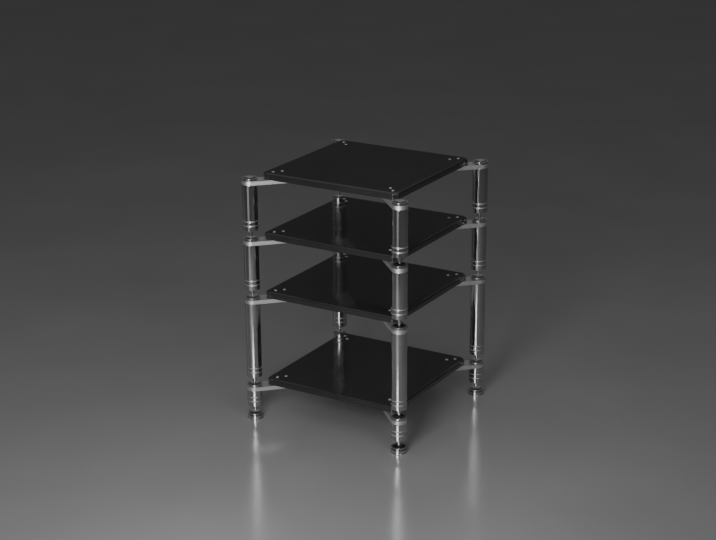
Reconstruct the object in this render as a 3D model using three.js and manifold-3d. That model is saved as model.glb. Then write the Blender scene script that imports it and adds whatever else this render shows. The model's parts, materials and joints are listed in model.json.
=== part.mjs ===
// An audio equipment rack, in millimetres, +Z up. The origin is on the floor, at the centre of the four
// columns, and the front faces -Y.
//
// The rack is a stack of tiers. A tier is one shelf on four flat arms. Each arm is clamped between a
// column tube and the cap on top of it, and a spike under the tube stands in the dished cap of the
// column below. The lowest tier has short columns, whose spikes stand in dished discs on the floor.

import * as THREE from 'three';
import { mergeVertices } from 'three/addons/utils/BufferGeometryUtils.js';
import Module from 'manifold-3d';

const wasm = await Module();
wasm.setup();

// The layout

const shelfSize = 560;
const columnOffset = 30;          // a shelf's edges out to the columns' axes, along X and along Y
const floorPitch = 130;           // the floor to the top of the lowest arms
const tallBayPitch = 346;         // the lowest arms to the next ones
const bayPitch = 227;             // each pair of arms above that

// The columns

const columnDiameter = 57;
const spikeStand = 31;            // what a column stands on to the lower end of its tube
const firstBeadHeight = 19;       // the end of a tube to the middle of its first bead
const beadPitch = 16.5;
const beadWidth = 4.5;
const beadProud = 1.5;
const studDiameter = 16;          // the stud of the cap, through the arm's bore

// The caps

const capRise = 9;                // the top of an arm to the top of the cap
const capThickness = 5.5;
const neckDiameter = 38;          // the turned step under the cap, which presses on the arm
const dishDiameter = 47;
const dishDepth = 4;

// The arms

const armThickness = 15;
const armReach = 150;             // the column's axis to the arm's inner end
const firstScrewReach = 87.6;     // the column's axis to the first shelf screw
const screwPitch = 33.4;

// The shelf screws

const screwDiameter = 8;
const headDiameter = 13.4;
const headHeight = 5;

// The shelves

const shelfThickness = 24;
const shelfRound = 8;             // the round along the top edges
const shelfEase = 1;              // the small bevel along the lower edges
const cornerCut = 16;             // the legs of the cut across each corner
const counterboreDiameter = 17;
const counterboreDepth = 4.2;
const screwClearance = 1;         // all round the screw in the shelf's hole

// The spikes

const spikeDiameter = 13;
const spikeConeLength = 10;
const shankDiameter = 10;
const shankLength = 26;           // inside the column, where it can be screwed out to level the rack
const shankRoom = 4;              // between the shank and the end of its bore

// The floor discs

const discHeight = 22;
const discRimHeight = 4;
const discFlangeDiameter = 60;
const discFlangeHeight = 3.5;     // with its slope in to the body

// Shared clearances and facets

const fit = 0.3;                  // between two pieces that rest on each other or pass through
const overrun = 5;                // how far a cutting shape runs past what it cuts
const mergeGrain = 0.0001;
const roundFacets = 16;
const smallFacets = 8;
const armEndCurves = 5;
const shelfRoundSteps = 3;

// Derived sizes

const columnRadius = columnDiameter / 2;
const neckRadius = neckDiameter / 2;
const neckHeight = capRise - capThickness;
const studRadius = studDiameter / 2;
const shankRadius = shankDiameter / 2;
const halfSpacing = shelfSize / 2 + columnOffset;
const screwReaches = [firstScrewReach, firstScrewReach + screwPitch];

const chrome = { color: 0xd9dadd, roughness: 0.08, metalness: 1 };
const satinPlate = { color: 0xd2d3d5, roughness: 0.35, metalness: 1 };
const blackGloss = { color: 0x08080a, roughness: 0.1, metalness: 0 };

// Each tier is named with its height over the tier below, from the floor up
const tiers = [
  { name: 'base', pitch: floorPitch },
  { name: 'lower', pitch: tallBayPitch },
  { name: 'upper', pitch: bayPitch },
  { name: 'top', pitch: bayPitch },
];

// The corners, with their signs along X and Y. An arm points from its corner to the rack's middle.
const corners = [
  { name: 'front_left', x: -1, y: -1 },
  { name: 'front_right', x: 1, y: -1 },
  { name: 'back_right', x: 1, y: 1 },
  { name: 'back_left', x: -1, y: 1 },
];

function inwardAngle(corner) {
  return Math.atan2(-corner.y, -corner.x);
}

// Solids

function toSolid(geometry) {
  const bare = geometry.clone();
  bare.deleteAttribute('normal');
  bare.deleteAttribute('uv');
  const merged = mergeVertices(bare, mergeGrain);
  const vertProperties = new Float32Array(merged.attributes.position.array);
  const triVerts = new Uint32Array(merged.index.array);
  return new wasm.Manifold(new wasm.Mesh({ numProp: 3, vertProperties, triVerts }));
}

function toGeometry(solid) {
  const mesh = solid.getMesh();
  const geometry = new THREE.BufferGeometry();
  geometry.setAttribute('position', new THREE.BufferAttribute(mesh.vertProperties, mesh.numProp));
  geometry.setIndex(new THREE.BufferAttribute(mesh.triVerts, 1));
  geometry.computeVertexNormals();
  return geometry;
}

// A turned piece. The profile is a list of [radius, height] from the axis round to the axis again.
function turned(profile, facets) {
  const points = profile.map(([radius, height]) => new THREE.Vector2(radius, height));
  return new THREE.LatheGeometry(points, facets).rotateX(Math.PI / 2);
}

function upright(radius, bottom, top, facets) {
  return turned([[0, bottom], [radius, bottom], [radius, top], [0, top]], facets);
}

// Pieces that stand on a column's axis, with height zero at the top of the tier's arms

function beadProfile(height) {
  return [
    [columnRadius, height - beadWidth / 2],
    [columnRadius + beadProud, height],
    [columnRadius, height + beadWidth / 2],
  ];
}

// The tube, with two turned beads near its lower end
function tubeGeometry(tubeEnd) {
  const tubeTop = -armThickness - fit;
  return turned([
    [0, tubeEnd],
    [columnRadius, tubeEnd],
    ...beadProfile(tubeEnd + firstBeadHeight),
    ...beadProfile(tubeEnd + firstBeadHeight + beadPitch),
    [columnRadius, tubeTop],
    [0, tubeTop],
  ], roundFacets);
}

// The cap, with the step under it that presses on the arm and the dish for the next spike
function capGeometry() {
  return turned([
    [0, fit],
    [neckRadius, fit],
    [neckRadius, neckHeight],
    [columnRadius, neckHeight],
    [columnRadius, capRise],
    [dishDiameter / 2, capRise],
    [0, capRise - dishDepth],
  ], roundFacets);
}

// The tube and the cap, held together by the cap's stud. A blind bore below takes the spike's shank.
function columnGeometry(tubeEnd) {
  const boreEnd = tubeEnd + shankLength + shankRoom;
  const stud = upright(studRadius, -armThickness - overrun, neckHeight / 2, smallFacets);
  const bore = upright(shankRadius + fit, tubeEnd - overrun, boreEnd, smallFacets);
  const column = toSolid(tubeGeometry(tubeEnd)).add(toSolid(stud)).add(toSolid(capGeometry()));
  return toGeometry(column.subtract(toSolid(bore)));
}

// The spike: a threaded shank, a shoulder under the tube's end, a straight body and a short point
function spikeGeometry(tubeEnd, seatTop) {
  const shoulder = tubeEnd - fit;
  const tip = seatTop - dishDepth + fit;
  return turned([
    [0, tip],
    [spikeDiameter / 2, tip + spikeConeLength],
    [spikeDiameter / 2, shoulder],
    [shankRadius, shoulder],
    [shankRadius, shoulder + shankLength],
    [0, shoulder + shankLength],
  ], smallFacets);
}

// A floor disc, with height zero on the floor: a flared flange, a body as wide as a column, then a neck
// and a dished rim like a cap's
function discGeometry() {
  const flangeRadius = discFlangeDiameter / 2;
  const flangeProud = flangeRadius - columnRadius;
  const rimUnderside = discHeight - discRimHeight;
  return turned([
    [0, 0],
    [flangeRadius, 0],
    [flangeRadius, discFlangeHeight - flangeProud],
    [columnRadius, discFlangeHeight],
    [columnRadius, rimUnderside - neckHeight],
    [neckRadius, rimUnderside - neckHeight],
    [neckRadius, rimUnderside],
    [columnRadius, rimUnderside],
    [columnRadius, discHeight],
    [dishDiameter / 2, discHeight],
    [0, discHeight - dishDepth],
  ], roundFacets);
}

// The arms, lying along +X from the column's axis

function armOutline() {
  const outline = new THREE.Shape();
  outline.absarc(0, 0, columnRadius, Math.PI / 2, Math.PI * 3 / 2, false);
  outline.lineTo(armReach, -columnRadius);
  outline.lineTo(armReach, columnRadius);
  return outline;
}

// A shelf screw stands in the arm, runs up through the shelf and ends in a low domed head
function screwGeometry(reach) {
  const screwRadius = screwDiameter / 2;
  const headRadius = headDiameter / 2;
  const headUnderside = shelfThickness - counterboreDepth + fit + fit;
  const domeShare = 0.75;
  return turned([
    [0, -armThickness / 2],
    [screwRadius, -armThickness / 2],
    [screwRadius, headUnderside],
    [headRadius, headUnderside],
    [headRadius * domeShare, headUnderside + headHeight * domeShare],
    [0, headUnderside + headHeight],
  ], smallFacets).translate(reach, 0, 0);
}

function armGeometry() {
  const plate = new THREE.ExtrudeGeometry(armOutline(), {
    depth: armThickness,
    bevelEnabled: false,
    curveSegments: armEndCurves,
  }).translate(0, 0, -armThickness);
  const bore = upright(studRadius + fit, -armThickness - overrun, overrun, smallFacets);
  const arm = toSolid(plate).subtract(toSolid(bore));
  const screws = screwReaches.map((reach) => toSolid(screwGeometry(reach)));
  return toGeometry(screws.reduce((body, screw) => body.add(screw), arm));
}

// The shelves, with height zero at the top of the tier's arms

// A square with its corners cut across, drawn in by an inset all round
function shelfOutline(inset) {
  const edge = shelfSize / 2 - inset;
  const cutEnd = edge - cornerCut;
  const outline = new THREE.Shape();
  outline.moveTo(cutEnd, -edge);
  outline.lineTo(edge, -cutEnd);
  outline.lineTo(edge, cutEnd);
  outline.lineTo(cutEnd, edge);
  outline.lineTo(-cutEnd, edge);
  outline.lineTo(-edge, cutEnd);
  outline.lineTo(-edge, -cutEnd);
  outline.lineTo(-cutEnd, -edge);
  return outline;
}

// A board whose upper and lower edges are both rounded by the same amount
function edgedBoard(bottom, top, round, steps) {
  return new THREE.ExtrudeGeometry(shelfOutline(round), {
    depth: top - bottom - round - round,
    bevelThickness: round,
    bevelSize: round,
    bevelSegments: steps,
  }).translate(0, 0, bottom + round);
}

// The hole for one screw: a clearance hole through the board and a counterbore for the head
function screwHole(top) {
  const clearance = upright(screwDiameter / 2 + screwClearance, -overrun, top, smallFacets);
  const counterbore = upright(counterboreDiameter / 2, top - counterboreDepth, top + overrun, smallFacets);
  return toSolid(clearance).add(toSolid(counterbore));
}

function shelfGeometry() {
  const bottom = fit;
  const top = bottom + shelfThickness;
  const rounded = edgedBoard(bottom - shelfRound - overrun, top, shelfRound, shelfRoundSteps);
  const eased = edgedBoard(bottom, top + overrun, shelfEase, 1);
  let board = toSolid(rounded).intersect(toSolid(eased));
  for (const corner of corners) {
    for (const reach of screwReaches) {
      const angle = inwardAngle(corner);
      const x = corner.x * halfSpacing + reach * Math.cos(angle);
      const y = corner.y * halfSpacing + reach * Math.sin(angle);
      board = board.subtract(screwHole(top).translate([x, y, 0]));
    }
  }
  return toGeometry(board);
}

// The assembly

function addPiece(parent, name, geometry, finish) {
  const mesh = new THREE.Mesh(geometry, new THREE.MeshStandardMaterial(finish));
  mesh.name = name;
  parent.add(mesh);
}

function cornerGroup(corner) {
  const group = new THREE.Group();
  group.position.set(corner.x * halfSpacing, corner.y * halfSpacing, 0);
  group.rotation.z = inwardAngle(corner);
  return group;
}

// One tier in its own frame, where height zero is the top of its arms and seatTop is the top of the
// caps or discs that its spikes stand in
function tierGroup(tier, seatTop) {
  const tubeEnd = seatTop + spikeStand;
  const group = new THREE.Group();
  addPiece(group, `${tier.name}_shelf`, shelfGeometry(), blackGloss);
  for (const corner of corners) {
    const place = cornerGroup(corner);
    addPiece(place, `${tier.name}_arm_${corner.name}`, armGeometry(), satinPlate);
    addPiece(place, `${tier.name}_column_${corner.name}`, columnGeometry(tubeEnd), chrome);
    addPiece(place, `${tier.name}_spike_${corner.name}`, spikeGeometry(tubeEnd, seatTop), chrome);
    group.add(place);
  }
  return group;
}

const rack = new THREE.Group();

for (const corner of corners) {
  const place = cornerGroup(corner);
  addPiece(place, `floor_disc_${corner.name}`, discGeometry(), chrome);
  rack.add(place);
}

let armTop = 0;
let seatHeight = discHeight;
for (const tier of tiers) {
  armTop += tier.pitch;
  const group = tierGroup(tier, seatHeight - armTop);
  group.position.z = armTop;
  rack.add(group);
  seatHeight = armTop + capRise;
}

export default rack;
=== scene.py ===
# %% [markdown]
# # An audio equipment rack, piece by piece
# The rack is a stack of four tiers. Each tier is a glossy black shelf on four flat satin arms,
# and each arm is clamped in a round column. A spike under every column stands in the dished cap
# of the column below. The fixed frame already says how big each piece is and which body it
# moves with, so this lesson only gives every piece its fine shape and its finish.

# %% Load the frame
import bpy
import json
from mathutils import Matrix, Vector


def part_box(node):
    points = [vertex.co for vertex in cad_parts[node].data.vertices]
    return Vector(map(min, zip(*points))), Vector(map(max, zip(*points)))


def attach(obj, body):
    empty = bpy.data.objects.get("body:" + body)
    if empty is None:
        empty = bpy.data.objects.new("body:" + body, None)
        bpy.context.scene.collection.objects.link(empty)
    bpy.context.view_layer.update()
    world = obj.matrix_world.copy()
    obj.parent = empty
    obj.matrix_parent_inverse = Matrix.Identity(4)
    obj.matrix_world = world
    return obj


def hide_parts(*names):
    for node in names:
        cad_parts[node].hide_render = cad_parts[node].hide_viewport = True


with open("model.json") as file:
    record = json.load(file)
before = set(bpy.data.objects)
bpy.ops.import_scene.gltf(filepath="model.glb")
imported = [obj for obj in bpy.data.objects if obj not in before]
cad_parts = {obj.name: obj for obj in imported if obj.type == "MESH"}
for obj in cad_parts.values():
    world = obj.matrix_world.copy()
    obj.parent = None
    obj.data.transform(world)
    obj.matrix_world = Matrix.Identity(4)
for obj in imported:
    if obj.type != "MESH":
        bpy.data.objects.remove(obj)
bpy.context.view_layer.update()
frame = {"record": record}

# %% [markdown]
# ## Tiers, corners and bodies
# The same few pieces repeat at four corners of four tiers, so the whole rack is made by loops
# over two lists of names. The record says which body each node belongs to. Turning that list
# round lets a new piece ride on the right body without a second list that could go wrong.

# %% Names and bodies
import json
import math

import bmesh
import bpy
from mathutils import Matrix, Vector

tier_names = ("base", "lower", "upper", "top")
corner_names = ("front_left", "front_right", "back_right", "back_left")

body_of_node = {}
for body, node_names in frame["record"]["behaviour"]["bodies"].items():
    for node_name in node_names:
        body_of_node[node_name] = body
print(len(tier_names), "tiers and", len(corner_names), "corners")
print("the record gives a body for", len(body_of_node), "nodes")

# %% [markdown]
# ## Heights and places from the frame
# Nothing is placed by eye. A shelf's underside gives the height of the arms that carry it, a
# column's box gives its lower end and the top of its cap, and a floor disc's box gives the axis
# of its corner. Pieces that rest on each other are kept 0.3 mm apart, as in the frame, so that
# no faces coincide.

# %% Places
fit = 0.0003


def arm_top(tier):
    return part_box(f"{tier}_shelf")[0].z - fit


def column_ends(tier):
    low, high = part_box(f"{tier}_column_front_left")
    return low.z, high.z


def axis_of(corner):
    low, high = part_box(f"floor_disc_{corner}")
    middle = (low + high) / 2
    return Vector((middle.x, middle.y, 0))


def on_axis_of(corner, height):
    return axis_of(corner) + Vector((0, 0, height))


def inward_angle(corner):
    axis = axis_of(corner)
    return math.atan2(-axis.y, -axis.x)


def in_mm(length):
    return round(length * 1000, 1)


for tier in tier_names:
    lower_end, cap_top = column_ends(tier)
    print(tier, "arms at", in_mm(arm_top(tier)), "mm")
    print(tier, "columns from", in_mm(lower_end), "to", in_mm(cap_top), "mm")

# %% [markdown]
# ## The camera
# The photograph was taken with a long lens from a little above, turned about thirty degrees to
# the right of the front. A long lens keeps the columns nearly parallel. The camera is made
# first, so that every later step can be looked at from the same place.

# %% The camera
camera_place = (2.8970, -4.9814, 2.5032)
camera_tilt = math.radians(71.257)
camera_lean = math.radians(0.225)
camera_turn = math.radians(30.45)
sensor_width = 36
lens_length = 81.73

camera = bpy.data.objects.new("camera", bpy.data.cameras.new("camera"))
camera.location = camera_place
camera.rotation_euler = (camera_tilt, camera_lean, camera_turn)
camera.data.sensor_width = sensor_width
camera.data.lens = lens_length
bpy.context.scene.collection.objects.link(camera)
bpy.context.scene.camera = camera
looks_down = 90 - math.degrees(camera_tilt)
print("a lens of", lens_length, "mm, looking down by", round(looks_down, 2), "degrees")

# %% [markdown]
# ## Turned pieces, part one: softened corners
# Columns, caps, spikes and floor discs all come off a lathe, so each is a profile swept round
# its axis. A real turned edge is never perfectly sharp. A Bevel modifier could soften it, but
# then the finer parts of a profile would run into each other. Here each corner is cut back into
# a small curve of its own, and this curve is what catches a thin line of light. Smooth shading
# would bend the light on the long face beside a curve as well, which a mirror shows at once. A
# guard point just outside each curve stops it.

# %% Softened corners
edge_ease = 0.0006
curve_steps = 3
most_of_a_side = 0.45
long_face = 4
guard_share = 0.4


def softened(points, reach, steps=curve_steps):
    """Replaces each inner corner of a profile by a curve that starts `reach` before it."""
    made = [Vector(points[0])]
    for before, corner, after in zip(points, points[1:], points[2:]):
        corner = Vector(corner)
        to_before, to_after = Vector(before) - corner, Vector(after) - corner
        start = corner + to_before * min(reach / to_before.length, most_of_a_side)
        end = corner + to_after * min(reach / to_after.length, most_of_a_side)
        if to_before.length > long_face * reach:
            made.append(start + to_before.normalized() * reach * guard_share)
        for step in range(steps + 1):
            share = step / steps
            made.append(start.lerp(corner, share).lerp(corner.lerp(end, share), share))
        if to_after.length > long_face * reach:
            made.append(end + to_after.normalized() * reach * guard_share)
    made.append(Vector(points[-1]))
    return made


print("a turned edge is eased by", in_mm(edge_ease), "mm, in", curve_steps, "steps")

# %% [markdown]
# ## Turned pieces, part two: rings and skins
# A Screw modifier could sweep the profile. Writing the rings by hand is as short, gives one
# closed mesh at once, and returns the last ring, so that a screw head can go on from it with a
# socket. A skin of faces joins each ring to the next. A ring of one vertex closes the skin on
# the axis.

# %% Rings and skins
full_turn = 2 * math.pi
column_sides = 72
small_sides = 32
axis_radius = 1e-7


def at_angle(reach, angle):
    return reach * math.cos(angle), reach * math.sin(angle)


def circle(radius, sides, centre=(0, 0)):
    spokes = [at_angle(radius, full_turn * side / sides) for side in range(sides)]
    return [(centre[0] + x, centre[1] + y) for x, y in spokes]


def ring(bm, outline, height):
    return [bm.verts.new((x, y, height)) for x, y in outline]


def skin(bm, lower, upper):
    """Faces between two rings, one of which may be a single vertex."""
    for side in range(max(len(lower), len(upper))):
        following = side + 1
        around = [
            lower[side % len(lower)],
            lower[following % len(lower)],
            upper[following % len(upper)],
            upper[side % len(upper)],
        ]
        bm.faces.new(list(dict.fromkeys(around)))


def turn(bm, profile, sides):
    """Sweeps a profile of (radius, height) round the axis, and returns its last ring."""
    last = None
    for radius, height in profile:
        outline = [(0, 0)] if radius < axis_radius else circle(radius, sides)
        current = ring(bm, outline, height)
        if last:
            skin(bm, last, current)
        last = current
    return last


print("turned pieces have", column_sides, "or", small_sides, "sides")

# %% [markdown]
# ## Turned pieces, part three: from the work to a mesh
# The faces are gathered in a bmesh, Blender's own workbench for meshes. At the end they are all
# turned outwards, and the mesh is shaded smooth but for its sharp edges. An Edge Split modifier
# would do that too, but it would tear the closed surface open. A closed piece has no open edge,
# so counting them is a quick test of every piece.

# %% From the work to a mesh
sharp_angle = math.radians(32)


def finished_mesh(bm, name, material):
    """Turns the work into a mesh with outward faces, smooth but for its sharp edges."""
    bmesh.ops.recalc_face_normals(bm, faces=bm.faces)
    open_edges = sum(not edge.is_manifold for edge in bm.edges)
    mesh = bpy.data.meshes.new(name)
    bm.to_mesh(mesh)
    bm.free()
    mesh.shade_smooth()
    mesh.set_sharp_from_angle(angle=sharp_angle)
    mesh.materials.append(material)
    print(name, "has", len(mesh.polygons), "faces and", open_edges, "open edges")
    return mesh


def turned_mesh(name, profile, material):
    work = bmesh.new()
    turn(work, softened(profile, edge_ease), column_sides)
    return finished_mesh(work, name, material)


print("edges above", round(math.degrees(sharp_angle)), "degrees stay sharp")

# %% [markdown]
# ## Putting a piece in its place
# Equal pieces share one mesh, as equal pieces in a workshop share one drawing. A piece gets the
# node that it stands for, which then no longer shows, and the body that carries it.


def place(mesh, name, node, location, angle=0.0):
    piece = bpy.data.objects.new(name, mesh)
    bpy.context.scene.collection.objects.link(piece)
    piece.location = location
    piece.rotation_euler.z = angle
    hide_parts(node)
    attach(piece, body_of_node[node])


# %% [markdown]
# ## Finishes, part one: colour and roughness
# Every finish is built from the principled shader and a few noise textures. A real surface
# differs a little from place to place and never a lot, so a noise is always spread over a narrow
# range of tones or of roughness. Most of a noise's values lie between 0.3 and 0.7, and spreading
# only that middle part uses the whole range.

# %% Helpers for colour and roughness
noise_low = 0.3
noise_high = 0.7
noise_detail = 3.0


def start_finish(name):
    material = bpy.data.materials.new(name)
    material.use_nodes = True
    tree = material.node_tree
    return material, tree, tree.nodes["Principled BSDF"]


def object_coordinates(tree):
    return tree.nodes.new("ShaderNodeTexCoord").outputs["Object"]


def noise(tree, vector, scale, detail=noise_detail):
    texture = tree.nodes.new("ShaderNodeTexNoise")
    texture.inputs["Scale"].default_value = scale
    texture.inputs["Detail"].default_value = detail
    tree.links.new(vector, texture.inputs["Vector"])
    return texture.outputs["Fac"]


def ranged(tree, value, lowest, highest):
    spread = tree.nodes.new("ShaderNodeMapRange")
    spread.inputs["From Min"].default_value = noise_low
    spread.inputs["From Max"].default_value = noise_high
    spread.inputs["To Min"].default_value = lowest
    spread.inputs["To Max"].default_value = highest
    tree.links.new(value, spread.inputs["Value"])
    return spread.outputs["Result"]


def blended(tree, value, dark, light):
    ramp = tree.nodes.new("ShaderNodeValToRGB")
    ramp.color_ramp.elements[0].color = (*dark, 1)
    ramp.color_ramp.elements[1].color = (*light, 1)
    tree.links.new(ranged(tree, value, 0, 1), ramp.inputs["Fac"])
    return ramp.outputs["Color"]


print("a noise is spread from its values between", noise_low, "and", noise_high)

# %% [markdown]
# ## Finishes, part two: fine marks
# Turning marks, the grain of satin and the waviness of lacquer are far too fine to be modelled.
# A Bump node only tilts the light, as if the surface rose and fell with a noise, and that is all
# that such marks do on the real piece. They are two hundredths of a millimetre high.

# %% A helper for marks
mark_height = 0.00002


def raised(tree, shader, marks, strength):
    """Lets the marks tilt the light, and returns the tilted direction."""
    bump = tree.nodes.new("ShaderNodeBump")
    bump.inputs["Distance"].default_value = mark_height
    bump.inputs["Strength"].default_value = strength
    tree.links.new(marks, bump.inputs["Height"])
    tree.links.new(bump.outputs["Normal"], shader.inputs["Normal"])
    return bump.outputs["Normal"]


print("marks are", round(mark_height * 1000, 3), "mm high")

# %% [markdown]
# ## Finishes, part three: turned and satin metal
# The tubes are turned and then polished until they mirror what stands round them. What is left
# of the turning are very fine rings round the axis. A wave texture could draw them, but it would
# draw them all alike. They are made from a noise that only knows the distance from the axis and
# the height, so they run round a tube's side and round the top of a cap alike.

# %% Metal with marks
patch_scale = 22


def round_the_axis(tree):
    """The distance from the axis and the height, as a vector for a noise."""
    parts = tree.nodes.new("ShaderNodeSeparateXYZ")
    tree.links.new(object_coordinates(tree), parts.inputs["Vector"])
    flat = tree.nodes.new("ShaderNodeCombineXYZ")
    tree.links.new(parts.outputs["X"], flat.inputs["X"])
    tree.links.new(parts.outputs["Y"], flat.inputs["Y"])
    length = tree.nodes.new("ShaderNodeVectorMath")
    length.operation = "LENGTH"
    tree.links.new(flat.outputs["Vector"], length.inputs[0])
    rings = tree.nodes.new("ShaderNodeCombineXYZ")
    tree.links.new(length.outputs["Value"], rings.inputs["X"])
    tree.links.new(parts.outputs["Z"], rings.inputs["Z"])
    return rings.outputs["Vector"]


def metal_finish(name, tones, marks_vector, marks_scale, roughness, marks_strength):
    material, tree, shader = start_finish(name)
    shader.inputs["Metallic"].default_value = 1.0
    patches = noise(tree, object_coordinates(tree), patch_scale)
    tree.links.new(blended(tree, patches, *tones), shader.inputs["Base Color"])
    marks = noise(tree, marks_vector(tree), marks_scale)
    tree.links.new(ranged(tree, marks, *roughness), shader.inputs["Roughness"])
    raised(tree, shader, marks, marks_strength)
    return material


print("metal has patches about", round(1000 / patch_scale), "mm across")

# %% [markdown]
# ## Finishes, part four: the metals of the rack
# The polished metal itself is a mid grey, because a mirror gets its brightness from what stands
# round it. The beads and the flat rims of the caps have a satin finish, and the dishes are left
# as the tool cut them, so all three reflect softly. The arms are cut from plate and have a fine
# satin finish. Satin spreads the light of a lamp over the whole face, so the arms look paler
# than the tubes, and their collars show one broad soft highlight.

# %% The metals
polished_tones = ((0.520, 0.520, 0.525), (0.590, 0.590, 0.590))
satin_tones = ((0.760, 0.762, 0.770), (0.820, 0.820, 0.825))

polished_metal = metal_finish(
    "polished_tube", polished_tones, round_the_axis,
    marks_scale=1400, roughness=(0.05, 0.09), marks_strength=0.10,
)
bead_metal = metal_finish(
    "satin_bead", polished_tones, round_the_axis,
    marks_scale=1400, roughness=(0.48, 0.56), marks_strength=0.15,
)
dish_metal = metal_finish(
    "fine_turned_dish", polished_tones, round_the_axis,
    marks_scale=1400, roughness=(0.22, 0.28), marks_strength=0.12,
)
rim_metal = metal_finish(
    "satin_rim", polished_tones, round_the_axis,
    marks_scale=1400, roughness=(0.44, 0.52), marks_strength=0.12,
)
plate_metal = metal_finish(
    "satin_plate", satin_tones, object_coordinates,
    marks_scale=900, roughness=(0.42, 0.50), marks_strength=0.20,
)
spike_metal = metal_finish(
    "plated_spike", polished_tones, round_the_axis,
    marks_scale=1800, roughness=(0.04, 0.08), marks_strength=0.08,
)
screw_metal = metal_finish(
    "bright_screw", satin_tones, round_the_axis,
    marks_scale=2400, roughness=(0.34, 0.42), marks_strength=0.15,
)
print("seven metal finishes made")

# %% [markdown]
# ## Finishes, part five: black lacquer
# The shelves are boards with several coats of black lacquer, sanded and buffed. A dark glossy
# shader alone would look like plastic. A clear coat over a nearly black base gives the deep
# reflection. Sprayed lacquer keeps a trace of orange peel, a faint waviness a few millimetres
# across that makes reflections swim a little, and buffing leaves some places a touch duller
# than others.

# %% Black lacquer
lacquer_dark = (0.0200, 0.0197, 0.0203)
lacquer_light = (0.0270, 0.0265, 0.0270)
lacquer_roughness = (0.21, 0.26)
buffing_scale = 9
peel_scale = 240
peel_detail = 2
peel_strength = 0.06

shelf_lacquer, lacquer_tree, lacquer_shader = start_finish("black_lacquer")
lacquer_shader.inputs["Coat Weight"].default_value = 1.0
lacquer_shader.inputs["Coat Roughness"].default_value = 0.045
lacquer_shader.inputs["Coat IOR"].default_value = 1.5
lacquer_shader.inputs["Specular IOR Level"].default_value = 0.25

buffing = noise(lacquer_tree, object_coordinates(lacquer_tree), buffing_scale)
lacquer_colour = blended(lacquer_tree, buffing, lacquer_dark, lacquer_light)
lacquer_tree.links.new(lacquer_colour, lacquer_shader.inputs["Base Color"])
lacquer_dullness = ranged(lacquer_tree, buffing, *lacquer_roughness)
lacquer_tree.links.new(lacquer_dullness, lacquer_shader.inputs["Roughness"])

orange_peel = noise(lacquer_tree, object_coordinates(lacquer_tree), peel_scale, peel_detail)
peel_direction = raised(lacquer_tree, lacquer_shader, orange_peel, peel_strength)
lacquer_tree.links.new(peel_direction, lacquer_shader.inputs["Coat Normal"])
print("the lacquer has", len(lacquer_tree.nodes), "nodes")

# %% [markdown]
# ## The tubes, part one: their profile
# A tube is the visible part of a column. Two beads are turned near its lower end, each between
# two fine grooves that make it stand out. The lower end has a threaded bore for the spike and
# the upper end a bore for the stud of the cap. They don't show while the rack stands, but a tier
# can be lifted off, and then a solid end would look wrong. Rings of their own could stand for
# the beads, but turned in one profile they belong to the tube, as the real ones do.

# %% The profile of a tube
column_radius = 0.0285
arm_thickness = 0.015
first_bead_height = 0.019
bead_pitch = 0.0165
bead_width = 0.0045
bead_proud = 0.0015
bead_steps = 8
groove_width = 0.0008
groove_depth = 0.0005
spike_bore_radius = 0.0053
spike_bore_depth = 0.030
stud_radius = 0.008
stud_bore_radius = stud_radius + fit
stud_bore_depth = 0.008


def bead(height):
    """A half-round bead between two fine grooves, as points of a profile going up."""
    half = bead_width / 2
    groove_floor = column_radius - groove_depth
    points = [
        (column_radius, height - half - groove_width),
        (groove_floor, height - half - groove_width / 2),
    ]
    for step in range(bead_steps + 1):
        along = math.pi * step / bead_steps
        bulge = bead_proud * math.sin(along)
        points.append((column_radius + bulge, height - half * math.cos(along)))
    points.append((groove_floor, height + half + groove_width / 2))
    points.append((column_radius, height + half + groove_width))
    return points


def tube_profile(length):
    return [
        (0, spike_bore_depth),
        (spike_bore_radius, spike_bore_depth),
        (spike_bore_radius, 0),
        (column_radius, 0),
        *bead(first_bead_height),
        *bead(first_bead_height + bead_pitch),
        (column_radius, length),
        (stud_bore_radius, length),
        (stud_bore_radius, length - stud_bore_depth),
        (0, length - stud_bore_depth),
    ]


print("a bead is", in_mm(bead_width), "mm wide and", in_mm(bead_proud), "mm proud")

# %% [markdown]
# ## The tubes, part two: turning them
# The tubes of one tier are equal, and each tier has its own length, so four meshes are enough
# for sixteen tubes. A mesh can hold several materials, and every face says which one it takes.
# Only the faces of the beads lie further out than the tube itself, so their distance from the
# axis picks them for the satin finish, and no list of faces is needed.

# %% Tubes
bead_index = 1

for tier in tier_names:
    tube_end = column_ends(tier)[0]
    tube_length = arm_top(tier) - arm_thickness - fit - tube_end
    tube = turned_mesh(f"{tier}_tube", tube_profile(tube_length), polished_metal)
    tube.materials.append(bead_metal)
    for face in tube.polygons:
        if face.center.xy.length > column_radius:
            face.material_index = bead_index
    for corner in corner_names:
        node = f"{tier}_column_{corner}"
        place(tube, f"{tier}_tube_{corner}", node, on_axis_of(corner, tube_end))
    print(tier, "tubes are", in_mm(tube_length), "mm long")

# %% [markdown]
# ## The caps
# A cap is a thin disc on a narrower neck, so a dark groove shows between the disc and the arm.
# Its top is a shallow cone in which the next spike stands. The stud below goes through the arm
# into the tube and holds all three together. The cap could be part of the tube's mesh, but the
# arm lies between them, and two pieces keep the thin line of the joint.

# %% The shape of a cap
neck_radius = 0.019
neck_height = 0.0035
cap_rise = 0.009
dish_radius = 0.0235
dish_depth = 0.004
pit_radius = 0.001
pit_rise = dish_depth * pit_radius / dish_radius
stud_grip = 0.007
stud_end = -arm_thickness - stud_grip

cap_profile = [
    (0, stud_end),
    (stud_radius, stud_end),
    (stud_radius, fit),
    (neck_radius, fit),
    (neck_radius, neck_height),
    (column_radius, neck_height),
    (column_radius, cap_rise),
    (dish_radius, cap_rise),
    (pit_radius, cap_rise - dish_depth + pit_rise),
    (0, cap_rise - dish_depth),
]
cap = turned_mesh("cap", cap_profile, polished_metal)

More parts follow.
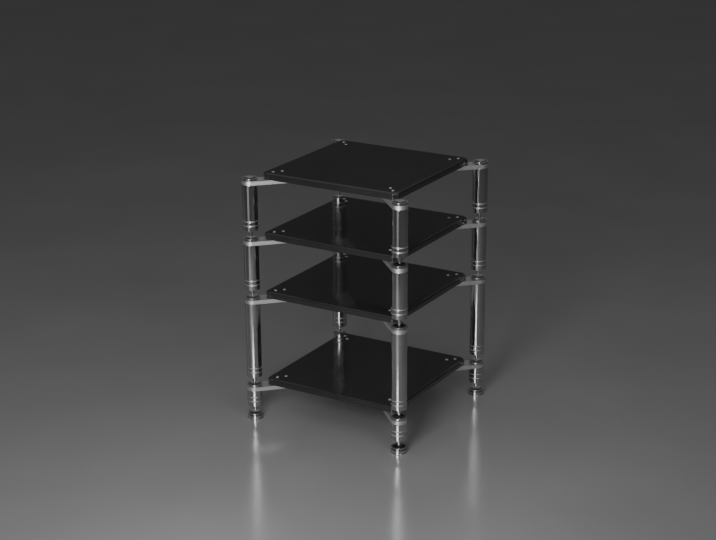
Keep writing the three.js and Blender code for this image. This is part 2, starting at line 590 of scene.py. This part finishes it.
# %% [markdown]
# ## The finish of a cap's top
# The side and the neck of a cap are polished like the tube. The cone keeps the finish of the
# tool, and the flat rim round it is satin. Each finish could be a piece of its own, but the
# photograph shows no joint there. The faces are picked by where they lie and by whether they
# look up, which also works for the floor discs, because their tops are the same.

# %% Dish and rim
dish_index = 1
rim_index = 2
looking_up = 0.2


def finish_top_faces(mesh, rim_top):
    mesh.materials.append(dish_metal)
    mesh.materials.append(rim_metal)
    for face in mesh.polygons:
        if face.center.z > rim_top - dish_depth and face.normal.z > looking_up:
            in_the_dish = face.center.xy.length < dish_radius
            face.material_index = dish_index if in_the_dish else rim_index


finish_top_faces(cap, cap_rise)

for tier in tier_names:
    for corner in corner_names:
        node = f"{tier}_column_{corner}"
        place(cap, f"{tier}_cap_{corner}", node, on_axis_of(corner, arm_top(tier)))
print("caps rise", in_mm(cap_rise), "mm above the arms")

# %% [markdown]
# ## The spikes, part one: a thread
# A spike has a short point, a straight body and a threaded shank that screws into its column.
# The thread matters on the four lowest ones, because levelling the rack screws them out and
# uncovers it. A thread could be a swept curve cut from the shank. Here the shank's surface is
# simply moved in and out along a helix, which keeps one clean closed mesh.

# %% The thread
shank_radius = 0.005
shank_length = 0.026
thread_pitch = 0.0015
thread_depth = 0.0008
thread_runout = 0.002
plain_share = 0.5
rows_per_turn = 6


def thread_radius(height, side):
    """The shank's radius on a helix, fading to the full radius at both ends."""
    share = (height / thread_pitch - side / small_sides) % 1
    valley = 1 - abs(2 * share - 1)
    from_end = min(height, shank_length - height)
    fade = min(1, max(0, from_end / thread_runout - plain_share))
    return shank_radius - thread_depth * valley * fade


def threaded_shank(bm, last, shoulder):
    rows = round(shank_length / thread_pitch * rows_per_turn)
    for row in range(1, rows + 1):
        height = shank_length * row / rows
        outline = []
        for side in range(small_sides):
            angle = full_turn * side / small_sides
            outline.append(at_angle(thread_radius(height, side), angle))
        current = ring(bm, outline, shoulder + height)
        skin(bm, last, current)
        last = current
    return last


print("the thread has", round(shank_length / thread_pitch), "turns")

# %% [markdown]
# ## The spikes, part two: point, body and shank
# The body is swept like any turned piece. The shank could be a mesh of its own, but the real
# spike is turned from one bar. The last ring of the body is therefore the first of the threaded
# shank, which ends in a small chamfer. All sixteen spikes are equal and share this mesh.

# %% Spikes
spike_radius = 0.0065
point_length = 0.010
tip_radius = 0.0005
tip_height = tip_radius / 2
shank_chamfer = 0.001
spike_low, spike_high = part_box("top_spike_front_left")
shoulder = spike_high.z - spike_low.z - shank_length
shank_end = shoulder + shank_length

body_profile = [
    (0, 0),
    (tip_radius, tip_height),
    (spike_radius, point_length),
    (spike_radius, shoulder),
    (shank_radius, shoulder),
]

spike_work = bmesh.new()
neck = turn(spike_work, softened(body_profile, edge_ease), small_sides)
thread_end = threaded_shank(spike_work, neck, shoulder)
chamfered = ring(spike_work, circle(shank_radius - shank_chamfer, small_sides), shank_end)
skin(spike_work, thread_end, chamfered)
skin(spike_work, chamfered, ring(spike_work, [(0, 0)], shank_end))
spike = finished_mesh(spike_work, "spike", spike_metal)

for tier in tier_names:
    for corner in corner_names:
        node = f"{tier}_spike_{corner}"
        tip = on_axis_of(corner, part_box(node)[0].z)
        place(spike, f"{tier}_spike_{corner}_turned", node, tip)

# %% [markdown]
# ## The floor discs
# The lowest spikes would dent a floor, so each stands in a disc. The disc is made like the top
# of a column, with the same neck and the same dish, on a body with a flared base. A copy of the
# cap's mesh could be cut and stretched for it, but a profile of its own keeps every edge clean.

# %% Floor discs
flange_radius = 0.030
flange_height = 0.0035
flare = flange_radius - column_radius
rim_height = 0.004
disc_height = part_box("floor_disc_front_left")[1].z
rim_underside = disc_height - rim_height

disc_profile = [
    (0, 0),
    (flange_radius, 0),
    (flange_radius, flange_height - flare),
    (column_radius, flange_height),
    (column_radius, rim_underside - neck_height),
    (neck_radius, rim_underside - neck_height),
    (neck_radius, rim_underside),
    (column_radius, rim_underside),
    (column_radius, disc_height),
    (dish_radius, disc_height),
    (pit_radius, disc_height - dish_depth + pit_rise),
    (0, disc_height - dish_depth),
]
disc = turned_mesh("floor_disc", disc_profile, polished_metal)
finish_top_faces(disc, disc_height)

for corner in corner_names:
    node = f"floor_disc_{corner}"
    place(disc, f"floor_disc_{corner}_turned", node, axis_of(corner))
print("floor discs are", in_mm(disc_height), "mm high")

# %% [markdown]
# ## Plates with holes
# Arms and shelves are flat plates with a shaped edge and holes. Each is a stack of outlines, one
# for every height of the edge, with flat lids at the top and bottom. A boolean cut would leave
# long slivers round the holes. Filling the lid between the outline and the rims of the holes
# keeps the rims clean, so a small chamfer round each hole costs nothing.

# %% Helpers for plates
hole_sides = 40
plan_steps = 4


def softened_loop(points, reach):
    """Rounds every corner of a closed outline."""
    wrapped = [points[-1], *points, points[0]]
    return [tuple(point) for point in softened(wrapped, reach, plan_steps)[1:-1]]


def wall(bm, levels):
    """Skins between levels of (outline, height). Returns the first and the last ring."""
    rings = [ring(bm, outline, height) for outline, height in levels]
    for lower, upper in zip(rings, rings[1:]):
        skin(bm, lower, upper)
    return rings[0], rings[-1]


def edge_wall(bm, outline_at, levels):
    """The outer wall of a plate, from levels of (inset, height)."""
    return wall(bm, [(outline_at(inset), height) for inset, height in levels])


def hole_wall(bm, centre, levels):
    """The wall of a round hole, from levels of (radius, height)."""
    outlines = [(circle(radius, hole_sides, centre), height) for radius, height in levels]
    return wall(bm, outlines)


def lid(bm, rings):
    """A flat face between an outline and the holes inside it."""
    pairs = [(loop[i - 1], loop[i]) for loop in rings for i in range(len(loop))]
    edges = [bm.edges.get(pair) for pair in pairs]
    bmesh.ops.triangle_fill(bm, edges=edges, use_beauty=True)


print("holes have", hole_sides, "sides")

# %% [markdown]
# ## The arms, part one: their outline
# An arm is a satin plate as wide as the column. Its outer end is round and lies flush between
# the tube and the cap, like a collar, so its bright edge carries on from the column. A cylinder
# joined to a box would make the same shape, but with a seam across the top. One outline round
# both has none.

# %% The outline of an arm
arm_reach = 0.150
arm_corner = 0.003
side_guard = 0.001
round_end_steps = 36


def arm_outline(inset):
    """The round end at the column's axis, then the two inner corners, slightly rounded."""
    radius = column_radius - inset
    reach = arm_reach - inset
    round_end = []
    for step in range(round_end_steps + 1):
        angle = math.pi / 2 + math.pi * step / round_end_steps
        round_end.append(at_angle(radius, angle))
    sides = [(0, -radius), (reach, -radius), (reach, radius), (0, radius)]
    inner_end = [tuple(point) for point in softened(sides, arm_corner, plan_steps)[1:-1]]
    return [(side_guard, radius), *round_end, (side_guard, -radius), *inner_end]


print("an arm's outline has", len(arm_outline(0)), "points")

# %% [markdown]
# ## The arms, part two: edges and holes
# The long edges are only just broken, which leaves the crisp bright side that shows under the
# corner of a shelf. Two blind threaded holes take the shelf's screws, and a through hole takes
# the stud. One mesh could serve all sixteen arms, each turned as an object, but then all would
# show the same grain. The grain comes from a noise in the mesh's own space, so turning a copy of
# the mesh gives every corner another part of it.

# %% Arms
arm_edge = 0.0005
first_screw_reach = 0.0876
screw_pitch = 0.0334
screw_reaches = (first_screw_reach, first_screw_reach + screw_pitch)
tapped_radius = 0.0042
tapped_depth = 0.010

arm_levels = [
    (arm_edge, -arm_thickness),
    (0, arm_edge - arm_thickness),
    (0, -arm_edge),
    (arm_edge, 0),
]
bore_levels = [(stud_bore_radius, -arm_thickness), (stud_bore_radius, 0)]
tapped_levels = [(tapped_radius, -tapped_depth), (tapped_radius, 0)]

arm_work = bmesh.new()
arm_low, arm_high = edge_wall(arm_work, arm_outline, arm_levels)
bore_low, bore_high = hole_wall(arm_work, (0, 0), bore_levels)
tapped_rims = []
for reach in screw_reaches:
    tapped_low, tapped_high = hole_wall(arm_work, (reach, 0), tapped_levels)
    skin(arm_work, tapped_low, ring(arm_work, [(reach, 0)], -tapped_depth))
    tapped_rims.append(tapped_high)
lid(arm_work, [arm_low, bore_low])
lid(arm_work, [arm_high, bore_high, *tapped_rims])
arm = finished_mesh(arm_work, "arm", plate_metal)

for corner in corner_names:
    facing_arm = arm.copy()
    facing_arm.transform(Matrix.Rotation(inward_angle(corner), 4, "Z"))
    for tier in tier_names:
        node = f"{tier}_arm_{corner}"
        seat = on_axis_of(corner, arm_top(tier))
        place(facing_arm, f"{tier}_arm_{corner}_plate", node, seat)

# %% [markdown]
# ## The shelf screws, part one: head and socket
# Two screws hold a shelf to each arm. Their low domed heads sit in counterbores and catch the
# light as small bright dots. A plain sphere would do for the dots, but up close the hexagon
# socket is what tells the eye that this is a screw and not a stud. The turned head ends in an
# open ring, and a lid closes it round the rim of the socket.

# %% A shelf screw
shelf_thickness = 0.024
counterbore_depth = 0.0042
head_radius = 0.0067
head_flat_radius = 0.0046
head_height = 0.005
head_wall_share = 0.25
head_underside = shelf_thickness - counterbore_depth + 2 * fit
screw_radius = 0.004
screw_end = -0.0075
dome_steps = 7
socket_sides = 6
socket_width = 0.005
socket_depth = 0.0026
socket_radius = socket_width / math.sqrt(3)

dome = []
for step in range(dome_steps + 1):
    along = math.pi / 2 * step / dome_steps
    radius = head_flat_radius + (head_radius - head_flat_radius) * math.cos(along)
    risen = head_wall_share + (1 - head_wall_share) * math.sin(along)
    dome.append((radius, head_underside + head_height * risen))

screw_profile = [
    (0, screw_end),
    (screw_radius, screw_end),
    (screw_radius, head_underside),
    (head_radius, head_underside),
    *dome,
]
head_top = dome[-1][1]
socket_floor = head_top - socket_depth
socket_outline = circle(socket_radius, socket_sides)

screw_work = bmesh.new()
head_rim = turn(screw_work, screw_profile, small_sides)
socket_low = ring(screw_work, socket_outline, socket_floor)
socket_high = ring(screw_work, socket_outline, head_top)
skin(screw_work, socket_low, socket_high)
skin(screw_work, socket_low, ring(screw_work, [(0, 0)], socket_floor))
lid(screw_work, [head_rim, socket_high])
screw = finished_mesh(screw_work, "shelf_screw", screw_metal)

# %% [markdown]
# ## The shelf screws, part two: tightening them
# A screw is turned until it is tight, so no two sockets point the same way. Random angles would
# do, but a fixed step from screw to screw gives the same rack on every run.

# %% Shelf screws
stopping_step = math.radians(37)
screws_placed = 0
for tier in tier_names:
    for corner in corner_names:
        angle = inward_angle(corner)
        seat = on_axis_of(corner, arm_top(tier))
        for number, reach in enumerate(screw_reaches, 1):
            name = f"{tier}_screw_{corner}_{number}"
            spot = seat + Vector((*at_angle(reach, angle), 0))
            stopped_at = stopping_step * screws_placed
            place(screw, name, f"{tier}_arm_{corner}", spot, stopped_at)
            screws_placed += 1
print(screws_placed, "shelf screws, each stopped at its own angle")

# %% [markdown]
# ## The shelves, part one: outline and edge
# A shelf is a thick board with its corners cut across to clear the columns. Its top edge is
# rounded generously and its lower edge is only eased. A scaled cube with a Bevel modifier comes
# close, but it rounds all edges alike. The round top edge is the one place where the black board
# shows up against dark surroundings, as a soft light line, so it gets many small steps.

# %% The outline and the edge of a shelf
shelf_low, shelf_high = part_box("top_shelf")
shelf_half = (shelf_high.x - shelf_low.x) / 2
corner_cut = 0.016
plan_round = 0.003
shelf_ease = 0.001
shelf_round = 0.008
round_start = shelf_thickness - shelf_round
round_steps = 10
round_guard = 0.0004


def board_outline(inset):
    edge = shelf_half - inset
    cut_end = edge - corner_cut
    corners = [
        (cut_end, -edge), (edge, -cut_end), (edge, cut_end), (cut_end, edge),
        (-cut_end, edge), (-edge, cut_end), (-edge, -cut_end), (-cut_end, -edge),
    ]
    return softened_loop(corners, plan_round)


shelf_levels = [(shelf_ease, 0), (0, shelf_ease), (0, round_start - round_guard)]
for step in range(round_steps + 1):
    along = math.pi / 2 * step / round_steps
    inset = shelf_round * (1 - math.cos(along))
    shelf_levels.append((inset, round_start + shelf_round * math.sin(along)))
shelf_levels.append((shelf_round + round_guard, shelf_thickness))
print("a shelf is", in_mm(2 * shelf_half), "mm wide, with", len(shelf_levels), "edge levels")

# %% [markdown]
# ## The shelves, part two: holes and lids
# Each corner has two screw holes, wide at the top for the heads. Their places follow from the
# columns' axes and the reaches of the screws, as on the arms, so holes, screws and arms always
# line up. All four shelves are equal and share one mesh.

# %% Shelves
counterbore_radius = 0.0085
counterbore_floor = shelf_thickness - counterbore_depth
clearance_radius = 0.005
hole_chamfer = 0.0006

hole_levels = [
    (clearance_radius + hole_chamfer, 0),
    (clearance_radius, hole_chamfer),
    (clearance_radius, counterbore_floor),
    (counterbore_radius, counterbore_floor),
    (counterbore_radius, shelf_thickness - hole_chamfer),
    (counterbore_radius + hole_chamfer, shelf_thickness),
]

shelf_work = bmesh.new()
board_low, board_high = edge_wall(shelf_work, board_outline, shelf_levels)
low_rims, high_rims = [board_low], [board_high]
for corner in corner_names:
    axis = axis_of(corner)
    for reach in screw_reaches:
        inward_x, inward_y = at_angle(reach, inward_angle(corner))
        spot = (axis.x + inward_x, axis.y + inward_y)
        low_rim, high_rim = hole_wall(shelf_work, spot, hole_levels)
        low_rims.append(low_rim)
        high_rims.append(high_rim)
lid(shelf_work, low_rims)
lid(shelf_work, high_rims)
shelf = finished_mesh(shelf_work, "shelf", shelf_lacquer)

for tier in tier_names:
    node = f"{tier}_shelf"
    place(shelf, f"{tier}_shelf_board", node, (0, 0, arm_top(tier) + fit))

# %% [markdown]
# ## The floor
# The floor is plain, pale and slightly glossy. Polished metal shows its surroundings more than
# itself, and a mirror column seen from above looks down at the floor, so the floor's finish is
# part of the columns' finish. A clear coat carries the gloss. The floor could end where the
# camera's view ends, but then its edge would show in the columns, so it is very wide.

# %% Floor
floor_size = 40
floor_dark = (0.32, 0.32, 0.324)
floor_light = (0.35, 0.35, 0.354)
floor_patch_scale = 1.5
floor_roughness = (0.18, 0.22)

floor_finish, floor_tree, floor_shader = start_finish("pale_floor")
floor_shader.inputs["Coat Weight"].default_value = 1.0
floor_shader.inputs["Coat Roughness"].default_value = 0.17
floor_patches = noise(floor_tree, object_coordinates(floor_tree), floor_patch_scale)
floor_colour = blended(floor_tree, floor_patches, floor_dark, floor_light)
floor_tree.links.new(floor_colour, floor_shader.inputs["Base Color"])
floor_dullness = ranged(floor_tree, floor_patches, *floor_roughness)
floor_tree.links.new(floor_dullness, floor_shader.inputs["Roughness"])

floor_work = bmesh.new()
bmesh.ops.create_grid(floor_work, x_segments=1, y_segments=1, size=floor_size / 2)
floor_mesh = bpy.data.meshes.new("floor")
floor_work.to_mesh(floor_mesh)
floor_work.free()
floor_mesh.materials.append(floor_finish)
floor = bpy.data.objects.new("floor", floor_mesh)
bpy.context.scene.collection.objects.link(floor)
print("the floor is", floor_size, "m across")

# %% [markdown]
# ## The studio
# What stands round the rack is dim along the horizon and lighter overhead. One flat tone would
# light the rack as well, but it would leave the black shelves grey. The tone follows the sine of
# the height above the horizon: the shelves mirror the dim part, and the pale part lights the
# floor and the arms from above.

# %% Studio
studio_low = (0.033, 0.033, 0.034, 1)
studio_high = (0.20, 0.20, 0.205, 1)
low_sine = 0.36
high_sine = 0.80

studio = bpy.data.worlds.new("studio")
studio.use_nodes = True
studio_nodes, studio_links = studio.node_tree.nodes, studio.node_tree.links
direction = studio_nodes.new("ShaderNodeTexCoord").outputs["Generated"]
direction_parts = studio_nodes.new("ShaderNodeSeparateXYZ")
studio_links.new(direction, direction_parts.inputs["Vector"])
climb = studio_nodes.new("ShaderNodeMapRange")
climb.inputs["From Min"].default_value = low_sine
climb.inputs["From Max"].default_value = high_sine
studio_links.new(direction_parts.outputs["Z"], climb.inputs["Value"])
studio_ramp = studio_nodes.new("ShaderNodeValToRGB")
studio_ramp.color_ramp.elements[0].color = studio_low
studio_ramp.color_ramp.elements[1].color = studio_high
studio_links.new(climb.outputs["Result"], studio_ramp.inputs["Fac"])
studio_links.new(studio_ramp.outputs["Color"], studio_nodes["Background"].inputs["Color"])
bpy.context.scene.world = studio
dim_up_to = round(math.degrees(math.asin(low_sine)))
print("the studio is dim up to", dim_up_to, "degrees above the horizon")

# %% [markdown]
# ## The lights
# A tall light in front of the rack reaches the columns by way of the floor's gloss, as the long
# bright streak on each of them. The uppermost columns look at a place on the floor that is
# further off, so a wide dim light stands behind the tall one. The other four are soft and dim,
# which keeps the rest a quiet grey. Point lamps would leave hard dots in every mirror, so all
# six are softboxes.

# %% Lights
rack_middle = (0, 0, 0.45)


def softbox(name, location, aim, width, height, power):
    light = bpy.data.lights.new(name, "AREA")
    light.shape = "RECTANGLE"
    light.size = width
    light.size_y = height
    light.energy = power
    lamp = bpy.data.objects.new(name, light)
    lamp.location = location
    towards = Vector(aim) - Vector(location)
    lamp.rotation_euler = towards.to_track_quat("-Z", "Y").to_euler()
    bpy.context.scene.collection.objects.link(lamp)
    print(name, "is", round(towards.length, 2), "m from where it points")


softbox("front_softbox", (0.63, -2.4, 1.25), (0, 0, 1.6), width=0.8, height=1.4, power=45)
softbox("far_softbox", (0.2, -5.4, 1.0), rack_middle, width=2.4, height=1.6, power=10)
softbox("overhead_softbox", (0.2, -0.8, 3.4), (0, -0.4, 0), width=4.0, height=4.0, power=8)
softbox("left_softbox", (-4.2, -1.6, 1.6), rack_middle, width=1.6, height=2.4, power=3)
softbox("right_softbox", (3.0, -2.2, 2.8), rack_middle, width=1.8, height=1.8, power=16)
softbox("back_softbox", (-1.8, 3.0, 3.6), (0, 0, 0.9), width=3.0, height=1.6, power=2)
